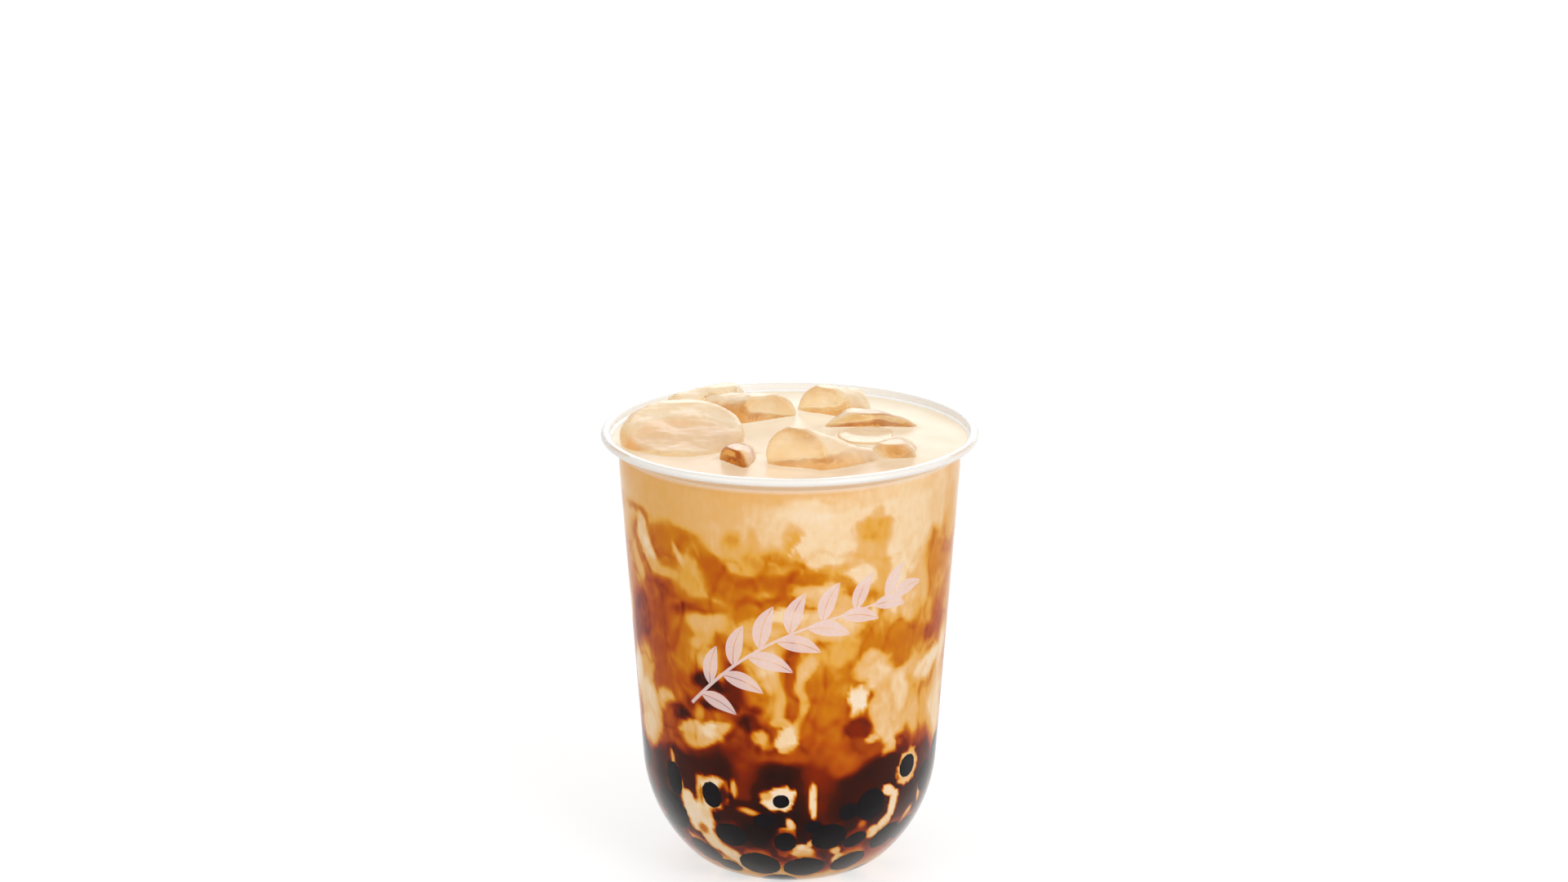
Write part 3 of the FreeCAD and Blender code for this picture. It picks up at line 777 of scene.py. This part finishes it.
# tones of the syrup on the wall, with painted shade and painted light laid in
def syrupAndPaintedLightTones(flat, angle, height):
    drift = [driftOf(flat, 1), driftOf(flat, 3)]
    rough = (noiseAt(flat, 1.7, 6), noiseAt(flat, 0.9, 7), noiseAt(flat, 2.2, 8))
    heights, plain = zip(*plainTones)
    tones = np.interp(height + marbling["wander"] * drift[1], heights, plain)
    cloud = marbling["cloud"] * noiseAt(flat * (1, 1, 0.6), 6.5, 9)
    wisp = marbling["wisp"] * noiseAt(flat * (1, 1, 0.5), 2.8, 10)
    tones += (1 - 0.8 * smooth(92, 100, height)) * (cloud + wisp)
    for patches, loose in ((backSwirls(), 1), (swirls, 1), (bedSwirls, 0.45), (ringsRoundPearls(), 0.3)):
        tones = paint(tones, angle, height, [part * loose for part in drift], patches, rough)
    veined = band(height, 36, 44, 92, 99)
    tones += marbling["darkVein"] * veinsOf(flat, 0.7, drift[0], 7.5, 12) * veined
    tones -= marbling["paleVein"] * veinsOf(flat, 0.6, drift[1], 6.0, 13) * veined
    # painted shade darkens the left side, deeper syrup darkens over the bed and between the pearls in
    # front, and painted light pales the right under the lip
    darkerSyrupAndShade = marbling["leftShade"] * facing(angle, -55) * band(height, 46, 54, 94, 102)
    darkerSyrupAndShade += marbling["overBedDepth"] * facing(angle, -20) * np.exp(-((height - 43) / 6) ** 2)
    darkerSyrupAndShade += marbling["betweenPearls"] * facing(angle, -2) ** 2 * band(height, 3, 8, 34, 40)
    paintedLightRight = marbling["litRightUnderLip"] * facing(angle, 55) * smooth(102, 110, height)
    return tones + darkerSyrupAndShade * smooth(0.22, 0.50, tones) - paintedLightRight


def makeTea():
    piece = spinOutline("milk_tea_marbled", teaOutline(), tea["turns"])
    points = readPoints(piece)
    x, y, height = points.T / mm
    radius = np.hypot(x, y)
    angle = np.degrees(np.arctan2(x, -y))
    onTop = (height > tea["level"] - 0.05) & (radius < 44.0)
    lift, iced, warmth = meetIce(points, onTop)
    free = np.clip((tea["calmFrom"] - radius) / tea["calmWidth"], 0, 1) * onTop
    ripple = noiseAt(points / mm, tea["rippleSize"], 5) * tea["ripple"] * free
    points[:, 2] += (lift + ripple) * mm
    writePoints(piece, points)

    tones = syrupAndPaintedLightTones(points / mm, angle, height)
    onWall = (radius > 12) | (height < 60)
    writeTone(piece, "iced", iced)
    writeTone(piece, "warmth", warmth)
    writeTone(piece, "syrup", np.clip(np.where(onWall, tones, 0.1), 0, 1))
    for face in piece.data.polygons:
        face.material_index = int(face.normal.z > 0.2 and face.center.z > tea["topFrom"] * mm)
    return piece


syrupShades = (
    (0.00, colour(250, 232, 212)), (0.12, colour(246, 213, 168)), (0.25, colour(236, 184, 118)),
    (0.40, colour(230, 166, 64)), (0.50, colour(210, 126, 4)), (0.62, colour(186, 80, 0)),
    (0.75, colour(132, 34, 0)), (0.87, colour(60, 14, 2)), (1.00, colour(20, 7, 6)),
)


def teaMaterial():
    material, root = newMaterial("milk tea marbled with brown sugar")
    place = placeOf(root)
    feather = noiseOf(root, place, 1.3, 4.0, 0.6, (1, 1, 1.8))
    grain = noiseOf(root, place, 0.35, 2.0, 0.5)
    tone = attributeOf(root, "syrup") + (feather - 0.5) * 0.13 + (grain - 0.5) * 0.04
    shade = root.add("ValToRGB", {"stops": syrupShades}, {0: tone})
    shader = root.add("BsdfPrincipled", None, {
        "Base Color": shade, "Roughness": 0.6, "Specular IOR Level": 0.05,
    })
    return finishMaterial(material, root, shader)


def teaTopMaterial():
    material, root = newMaterial("milk tea surface")
    place = placeOf(root)
    depth = root.add("SeparateXYZ", None, {0: place}, 1)
    # painted light: the open surface is painted paler towards the back
    back = root.add("MapRange", None, {"Value": depth, "From Min": -36 * mm, "From Max": 36 * mm})
    cloud = noiseOf(root, place, 11.0, 3.0, 0.5)
    open = root.add("ValToRGB", {"stops": (
        (0.30, colour(240, 208, 170)), (0.55, colour(249, 227, 194)), (0.80, colour(253, 238, 210)),
    )}, {0: back * 0.5 + cloud * 0.5})
    # painted shade: where the drink lies under ice it is painted browner
    brown = attributeOf(root, "warmth") + (noiseOf(root, place, 3.5, 3.0, 0.6) - 0.5) * 0.9
    under = root.add("ValToRGB", {"stops": (
        (0.10, colour(250, 226, 184)), (0.45, colour(236, 192, 126)),
        (0.75, colour(214, 148, 70)), (1.00, colour(184, 96, 16)),
    )}, {0: brown})
    shade = attributeOf(root, "iced").mix(open, under)
    skin = noiseOf(root, place, 2.4, 3.0, 0.5)
    bump = root.add("Bump", None, {"Strength": 0.12, "Distance": 0.2 * mm, "Height": skin})
    shader = root.add("BsdfPrincipled", None, {
        "Base Color": shade, "Roughness": 0.30, "Specular IOR Level": 0.25, "Normal": bump,
    })
    return finishMaterial(material, root, shader)


milkTea = makeTea()
milkTea.data.materials.append(teaMaterial())
milkTea.data.materials.append(teaTopMaterial())
finishPiece(milkTea, "milk_tea", "milk_tea")
print("milk tea made")


pearl = {
    "sunk": 0.6,            # how near its middle lies to the wall, as a share of its depth
    "depth": 4.7,
    "proud": 0.13,          # a pressed side stands this far into the wall
    "lowest": 1.2,
    "top": 33.0,
    "sizes": (3.4, 4.5),
    "spacing": 9.3,
    "tries": 6000,
    "frontWidth": 66,       # scattered pearls keep to the sides of this angle, apart from the lowest
    "frontFoot": 5.5,
    "innerRadius": 4.6,     # a few lie on the floor, away from the wall
    "innerReach": 9.6,
    "innerHeight": 5.8,
}


def placeAt(turn, across, height):
    angle = math.radians(turn)
    return Vector((math.sin(angle) * across, -math.cos(angle) * across, height))


def wallAt(height):
    # inner radius of the cup and the direction out through its wall, at a height in mm
    across = float(np.interp(height, insideUp, insideAcross))
    above = float(np.interp(height + 0.2, insideUp, insideAcross))
    lean = Vector((0.2, -(above - across))).normalized()
    return across, lean


def placedPearl(master, centre, shape):
    piece = master.copy()
    piece.data = master.data.copy()
    bpy.context.scene.collection.objects.link(piece)
    piece.data.transform(Matrix.Scale(mm, 4) @ Matrix.Translation(centre) @ shape)
    return piece


def pressedPearl(master, turn, height, halfWidth, halfHeight, tilt, draw):
    # a pearl whose flat patch on the wall has this half width and half height
    across, lean = wallAt(height)
    angle = math.radians(turn)
    outward = Vector((math.sin(angle) * lean[0], -math.cos(angle) * lean[0], lean[1]))
    sideways = Vector((math.cos(angle), math.sin(angle), 0))
    upward = outward.cross(sideways)
    wide = math.sqrt(1 - pearl["sunk"] ** 2)
    depth = pearl["depth"] * draw.uniform(0.92, 1.08)
    centre = placeAt(turn, across, height) - outward * depth * pearl["sunk"]
    cosine, sine = math.cos(math.radians(tilt)), math.sin(math.radians(tilt))
    long = (sideways * cosine + upward * sine) * (halfWidth / wide)
    tall = (upward * cosine - sideways * sine) * (halfHeight / wide)
    shape = Matrix((long, outward * depth, tall)).transposed().to_4x4()
    return placedPearl(master, centre, shape)


def pressAgainstWall(piece, reach):
    # what would pass through the wall is pressed flat against it, a batch of points at a time
    batch = 4000
    points = readPoints(piece) / mm
    radius = np.hypot(points[:, 0], points[:, 1])
    outline = np.array(divided(insideOutline, 0.5))
    steps = np.diff(outline, axis=0)
    outwards = np.stack([steps[:, 1], -steps[:, 0]], 1)
    outwards /= np.linalg.norm(outwards, axis=1)[:, None]
    middles = (outline[1:] + outline[:-1]) / 2
    flat = np.stack([radius, points[:, 2]], 1)
    for start in range(0, len(flat), batch):
        part = flat[start:start + batch]
        nearest = np.argmin(((part[:, None] - middles[None]) ** 2).sum(2), axis=1)
        past = ((part - middles[nearest]) * outwards[nearest]).sum(1) - reach
        flat[start:start + batch] = part - outwards[nearest] * np.clip(past, 0, None)[:, None]
    scale = flat[:, 0] / np.maximum(radius, 1e-6)
    points = np.stack([points[:, 0] * scale, points[:, 1] * scale, flat[:, 1]], 1)
    writePoints(piece, points * mm)


def scatterPearls(draw):
    # places against the wall, round the sides and under the bed, that keep clear of each other
    def spot(turn, height):
        return placeAt(turn, wallAt(height)[0], height)

    taken = [spot(turn, height) for turn, height, *rest in frontPearls]
    thrown = []
    for attempt in range(pearl["tries"]):
        turn, height = draw.uniform(-180, 180), draw.uniform(pearl["lowest"], pearl["top"])
        if abs(turn) < pearl["frontWidth"] and height > pearl["frontFoot"]:
            continue
        here = spot(turn, height)
        if all((here - other).length > pearl["spacing"] for other in taken):
            taken.append(here)
            size = draw.uniform(*pearl["sizes"])
            thrown.append((turn, height, size, size * draw.uniform(0.86, 1.05), draw.uniform(-30, 30)))
    return thrown


def makePearls():
    clearSelection()
    bpy.ops.mesh.primitive_ico_sphere_add(subdivisions=4, radius=1)
    master = bpy.context.object
    draw = random.Random(5)
    pieces = [pressedPearl(master, *place, draw) for place in frontPearls]
    pieces += [pressedPearl(master, *place, draw) for place in scatterPearls(draw)]
    ball = Matrix.Scale(pearl["innerRadius"], 4)
    for turn, across in ((0, 0.0), *((60 * number, pearl["innerReach"]) for number in range(6))):
        pieces.append(placedPearl(master, placeAt(turn, across, pearl["innerHeight"]), ball))
    bpy.data.objects.remove(master)
    pick(*pieces)
    bpy.ops.object.join()
    piece = bpy.context.object
    piece.name = piece.data.name = "tapioca_pearls"
    faceOutwards(piece)
    pressAgainstWall(piece, pearl["proud"])
    bpy.ops.object.shade_smooth()
    return piece, len(pieces)


def pearlMaterial():
    material, root = newMaterial("cooked tapioca")
    place = placeOf(root)
    cloud = noiseOf(root, place, 3.0, 3.0, 0.55)
    shade = root.add("ValToRGB", {"stops": (
        (0.30, colour(9, 6, 9)), (0.60, colour(17, 12, 17)), (0.80, colour(32, 21, 22)),
    )}, {0: cloud})
    shader = root.add("BsdfPrincipled", None, {
        "Base Color": shade, "Roughness": 0.5, "Specular IOR Level": 0.05,
    })
    return finishMaterial(material, root, shader)


pearls, pearlCount = makePearls()
pearls.data.materials.append(pearlMaterial())
finishPiece(pearls, "pearls", "pearl_bed")
print("pearls made:", pearlCount)


sprig = {
    "start": (-27, 52),     # mm along the wall from the front, and height
    "end": (27, 80),
    "bow": 6.0,
    "leaves": 7,
    "leafLength": 12.0,
    "leafWidth": 4.6,
    "rib": 0.14,            # bare line between the halves of a leaf
    "stem": 0.9,
    "proud": 0.03,
    "arc": 40.5,            # radius at which mm along the wall become angles
}


def stemAt(part):
    start, end = Vector(sprig["start"]), Vector(sprig["end"])
    along = end - start
    side = Vector((-along.y, along.x)).normalized()
    return start + along * part + side * sprig["bow"] * math.sin(math.pi * part)


def printStrip(corners, across, columns, rows):
    # a flat strip that follows corners(part), with its two edges across(part) away from that line
    clearSelection()
    bpy.ops.mesh.primitive_grid_add(x_subdivisions=columns, y_subdivisions=rows, size=1)
    piece = bpy.context.object
    points = readPoints(piece)
    for index, (x, y, z) in enumerate(points):
        part = x + 0.5
        middle, ahead = corners(part), corners(min(part + 0.01, 1.0))
        behind = corners(max(part - 0.01, 0.0))
        run = (ahead - behind).normalized()
        side = Vector((-run.y, run.x))
        low, high = across(part)
        place = middle + side * (low + (high - low) * (y + 0.5))
        points[index] = (place.x, 0, place.y)
    writePoints(piece, points * mm)
    return piece


def leafHalf(root, heading, size, side):
    length, width = sprig["leafLength"] * size, sprig["leafWidth"] * size
    turn = math.radians(heading)
    run = Vector((math.cos(turn), math.sin(turn)))
    curl = Vector((-run.y, run.x)) * 0.08 * length

    def along(part):
        return root + run * length * part + curl * math.sin(math.pi * part)

    def across(part):
        rib = sprig["rib"] / 2
        swell = math.sin(math.pi * part ** 0.82) ** 0.85 if 0 < part < 1 else 0
        return (rib * side, max(rib, width / 2 * swell) * side)

    return printStrip(along, across, 18, 3)


def stemEdges(part):
    half = sprig["stem"] * (0.5 - 0.25 * part)
    return (-half, half)


def makePrint():
    # leaves stand in pairs, smaller away from the middle and lying closer to the stem towards its tip
    pieces = [printStrip(stemAt, stemEdges, 60, 1)]
    run = Vector(sprig["end"]) - Vector(sprig["start"])
    heading = math.degrees(math.atan2(run.y, run.x))
    for number in range(sprig["leaves"]):
        part = 0.10 + 0.84 * number / (sprig["leaves"] - 1)
        size = 1.0 - 0.35 * abs(part - 0.4)
        for side in (1, -1):
            root = stemAt(min(1.0, part + 0.03 * side)) + Vector((0, 0.2 * side))
            turn = heading + side * (52 - 18 * part)
            pieces += [leafHalf(root, turn, size, half) for half in (1, -1)]
    pieces += [leafHalf(stemAt(1.0), heading - 14, 0.8, half) for half in (1, -1)]
    pick(*pieces)
    bpy.ops.object.join()
    piece = bpy.context.object
    piece.name = piece.data.name = "leaf_print"
    points = readPoints(piece) / mm
    radius = np.interp(points[:, 2], outsideUp, outsideAcross) + sprig["proud"]
    turn = points[:, 0] / sprig["arc"]
    points[:, 0], points[:, 1] = radius * np.sin(turn), -radius * np.cos(turn)
    writePoints(piece, points * mm)
    faceOutwards(piece)
    flip = [face.index for face in piece.data.polygons if face.normal.y > 0]
    for index in flip:
        piece.data.polygons[index].flip()
    piece.data.update()
    bpy.ops.object.shade_smooth()
    return piece


def printMaterial():
    material, root = newMaterial("pale pink ink")
    speck = noiseOf(root, placeOf(root), 0.6, 2.0, 0.5)
    shade = root.add("ValToRGB", {"stops": (
        (0.3, colour(236, 204, 196)), (0.7, colour(240, 212, 205)),
    )}, {0: speck})
    shader = root.add("BsdfPrincipled", None, {
        "Base Color": shade, "Roughness": 0.4, "Alpha": 0.86, "Specular IOR Level": 0.3,
    })
    return finishMaterial(material, root, openToLight(root, shader))


leafPrint = makePrint()
leafPrint.data.materials.append(printMaterial())
finishPiece(leafPrint, "cup")
print("print made")


studio = {
    "pitch": 15.4,
    "distance": 1.1,
    "aim": (-0.00144, 0, 0.11075),
    "lens": 100.5,
    "floor": 6.0,
    "floorShade": 0.52,
    "floorGlow": 0.62,
    "floorLight": 0.35,     # share of the glow that falls on the object
    "roomLight": 0.62,
    "lampAim": (0, 0, 0.06),
    # name, place, size, power
    "lamps": (
        ("key", (1.1, -1.3, 0.9), 1.1, 14.0),
        ("fill", (-1.3, -1.2, 0.5), 1.2, 6.5),
        ("back", (0.3, 1.5, 0.9), 1.2, 7.0),
    ),
}


def whiteFor(root, level):
    # plain for what lights the object, white for what is seen, mirrored or seen through
    outputs = root.add("LightPath").socket.node.outputs
    kinds = ("Is Camera Ray", "Is Glossy Ray", "Is Transmission Ray")
    camera, mirrored, through = [Wire(root.tree, outputs[kind]) for kind in kinds]
    seen = root.add("Math", {"operation": "ADD", "use_clamp": True}, {0: camera + mirrored, 1: through})
    return seen * (1.0 - level) + level


def makeStudio():
    clearSelection()
    bpy.ops.mesh.primitive_plane_add(size=studio["floor"])
    floor = bpy.context.object
    floor.name = floor.data.name = "floor"
    material, root = newMaterial("white floor")
    shade = studio["floorShade"]
    card = root.add("BsdfDiffuse", None, {"Color": (shade, shade, shade, 1)})
    strength = whiteFor(root, studio["floorLight"]) * studio["floorGlow"]
    glow = root.add("Emission", None, {"Color": (1, 1, 1, 1), "Strength": strength})
    both = root.add("AddShader", None, {0: card, 1: glow})
    floor.data.materials.append(finishMaterial(material, root, both))

    world = bpy.data.worlds.new("white room")
    bpy.context.scene.world = world
    world.use_nodes = True
    world.node_tree.nodes.clear()
    root = Wire(world.node_tree)
    strength = whiteFor(root, studio["roomLight"])
    sky = root.add("Background", None, {"Color": (1, 1, 1, 1), "Strength": strength})
    root.add("OutputWorld", None, {"Surface": sky})

    for name, place, size, power in studio["lamps"]:
        bpy.ops.object.light_add(type="AREA", location=place)
        lamp = bpy.context.object
        lamp.name = name
        lamp.data.size = size
        lamp.data.energy = power
        towards = Vector(studio["lampAim"]) - Vector(place)
        lamp.rotation_euler = towards.to_track_quat("-Z", "Y").to_euler()

    pitch = math.radians(studio["pitch"])
    aim = Vector(studio["aim"])
    away = Vector((0, -math.cos(pitch), math.sin(pitch))) * studio["distance"]
    bpy.ops.object.camera_add(location=aim + away, rotation=(math.pi / 2 - pitch, 0, 0))
    camera = bpy.context.object
    camera.data.lens = studio["lens"]
    camera.data.sensor_width = 36
    camera.data.clip_end = 20
    bpy.context.scene.camera = camera
    bpy.context.scene.view_settings.view_transform = "Standard"


makeStudio()
print("studio ready")
